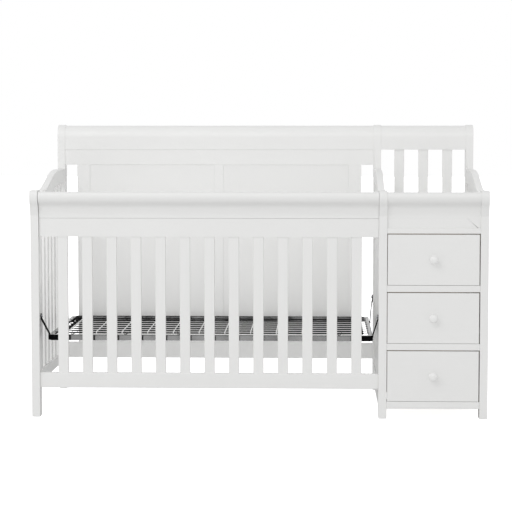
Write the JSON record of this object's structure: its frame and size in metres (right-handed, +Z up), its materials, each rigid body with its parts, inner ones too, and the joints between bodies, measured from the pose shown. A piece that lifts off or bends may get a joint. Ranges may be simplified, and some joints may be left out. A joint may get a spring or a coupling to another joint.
{
  "type": "crib with attached changer",
  "caption": "Full-size sleigh-style slatted crib with a spring mattress support, joined to a changing table with a tray over a stack of knobbed drawers on roller slides.",
  "frame": {"origin": "centre of the bounding box at floor level", "axes": "+X along the front to the picture's right, where the changer is; +Y from the front to the back; +Z up"},
  "size_m": [1.788, 0.839, 1.148],
  "materials": {
    "painted_wood": "satin white paint on solid wood",
    "painted_panel": "satin white paint on flat board",
    "painted_knob": "smooth white paint on a turned wooden knob",
    "bare_wood": "clear-lacquered pale wood",
    "epoxy_steel": "smooth white epoxy coat",
    "black_enamel": "semi-gloss black enamel",
    "gloss_black": "gloss black enamel",
    "zinc_wire": "bright zinc-plated wire",
    "bolt_steel": "zinc-plated steel",
    "nylon": "off-white nylon"
  },
  "bodies": {
    "crib_frame": {"left_front_post": "painted_wood", "left_back_post": "painted_wood", "left_top_rail": "painted_wood", "left_bottom_rail": "painted_wood", "left_slats": "painted_wood", "mid_front_post": "painted_wood", "mid_back_post": "painted_wood", "mid_top_rail": "painted_wood", "right_front_post": "painted_wood", "right_back_post": "painted_wood", "right_top_rail": "painted_wood", "solid_end_bottom_rails": "painted_wood", "front_crown_rail": "painted_wood", "front_apron_rail": "painted_wood", "front_bottom_rail": "painted_wood", "front_slats": "painted_wood", "back_crown_rail": "painted_wood", "back_upper_rail": "painted_wood", "back_bottom_rail": "painted_wood", "back_stiles": "painted_wood", "gallery_crown_rail": "painted_wood", "gallery_slats": "painted_wood", "gallery_lower_rail": "painted_wood", "changer_crown_rail": "painted_wood", "changer_apron": "painted_wood", "corner_block": "painted_wood", "cabinet_top_rail": "painted_wood", "drawer_dividers": "painted_wood", "cabinet_bottom_rail": "painted_wood", "solid_end_panels": "painted_panel", "back_panels": "painted_panel", "changing_top": "painted_panel", "cabinet_back_panel": "painted_panel", "cabinet_slides": "epoxy_steel", "slide_packers": "bare_wood", "support_frame": "gloss_black", "support_long_wires": "black_enamel", "support_cross_wires": "zinc_wire", "support_springs": "black_enamel", "support_hangers": "black_enamel", "frame_bolts": "bolt_steel", "foot_glides": "nylon"},
    "drawer_1": {"drawer_1_front": "painted_wood", "drawer_1_box": "bare_wood", "drawer_1_knob": "painted_knob", "drawer_1_runners": "epoxy_steel"},
    "drawer_1_roller_pair": {"drawer_1_rollers": "nylon"},
    "cabinet_roller_pair_1": {"cabinet_rollers_1": "nylon"},
    "drawer_2": {"drawer_2_front": "painted_wood", "drawer_2_box": "bare_wood", "drawer_2_knob": "painted_knob", "drawer_2_runners": "epoxy_steel"},
    "drawer_2_roller_pair": {"drawer_2_rollers": "nylon"},
    "cabinet_roller_pair_2": {"cabinet_rollers_2": "nylon"},
    "drawer_3": {"drawer_3_front": "painted_wood", "drawer_3_box": "bare_wood", "drawer_3_knob": "painted_knob", "drawer_3_runners": "epoxy_steel"},
    "drawer_3_roller_pair": {"drawer_3_rollers": "nylon"},
    "cabinet_roller_pair_3": {"cabinet_rollers_3": "nylon"}
  },
  "joints": [
    {"name": "drawer_1_slide", "type": "slide", "parent": "crib_frame", "child": "drawer_1", "axis": [0, -1, 0], "range_m": [0, 0.4]},
    {"name": "drawer_1_roller_spin", "type": "hinge", "parent": "drawer_1", "child": "drawer_1_roller_pair", "pos_m": [0.681, 0.1625, 0.1115], "axis": [1, 0, 0], "continuous": true},
    {"name": "cabinet_roller_1_spin", "type": "hinge", "parent": "crib_frame", "child": "cabinet_roller_pair_1", "pos_m": [0.681, -0.3525, 0.1115], "axis": [1, 0, 0], "continuous": true},
    {"name": "drawer_2_slide", "type": "slide", "parent": "crib_frame", "child": "drawer_2", "axis": [0, -1, 0], "range_m": [0, 0.4]},
    {"name": "drawer_2_roller_spin", "type": "hinge", "parent": "drawer_2", "child": "drawer_2_roller_pair", "pos_m": [0.681, 0.1625, 0.3395], "axis": [1, 0, 0], "continuous": true},
    {"name": "cabinet_roller_2_spin", "type": "hinge", "parent": "crib_frame", "child": "cabinet_roller_pair_2", "pos_m": [0.681, -0.3525, 0.3395], "axis": [1, 0, 0], "continuous": true},
    {"name": "drawer_3_slide", "type": "slide", "parent": "crib_frame", "child": "drawer_3", "axis": [0, -1, 0], "range_m": [0, 0.4]},
    {"name": "drawer_3_roller_spin", "type": "hinge", "parent": "drawer_3", "child": "drawer_3_roller_pair", "pos_m": [0.681, 0.1625, 0.5675], "axis": [1, 0, 0], "continuous": true},
    {"name": "cabinet_roller_3_spin", "type": "hinge", "parent": "crib_frame", "child": "cabinet_roller_pair_3", "pos_m": [0.681, -0.3525, 0.5675], "axis": [1, 0, 0], "continuous": true}
  ],
  "couplings": [
    {"joint": "drawer_1_roller_spin", "follows": "drawer_1_slide", "rad_per_m": 100},
    {"joint": "cabinet_roller_1_spin", "follows": "drawer_1_slide", "rad_per_m": 100},
    {"joint": "drawer_2_roller_spin", "follows": "drawer_2_slide", "rad_per_m": 100},
    {"joint": "cabinet_roller_2_spin", "follows": "drawer_2_slide", "rad_per_m": 100},
    {"joint": "drawer_3_roller_spin", "follows": "drawer_3_slide", "rad_per_m": 100},
    {"joint": "cabinet_roller_3_spin", "follows": "drawer_3_slide", "rad_per_m": 100}
  ]
}
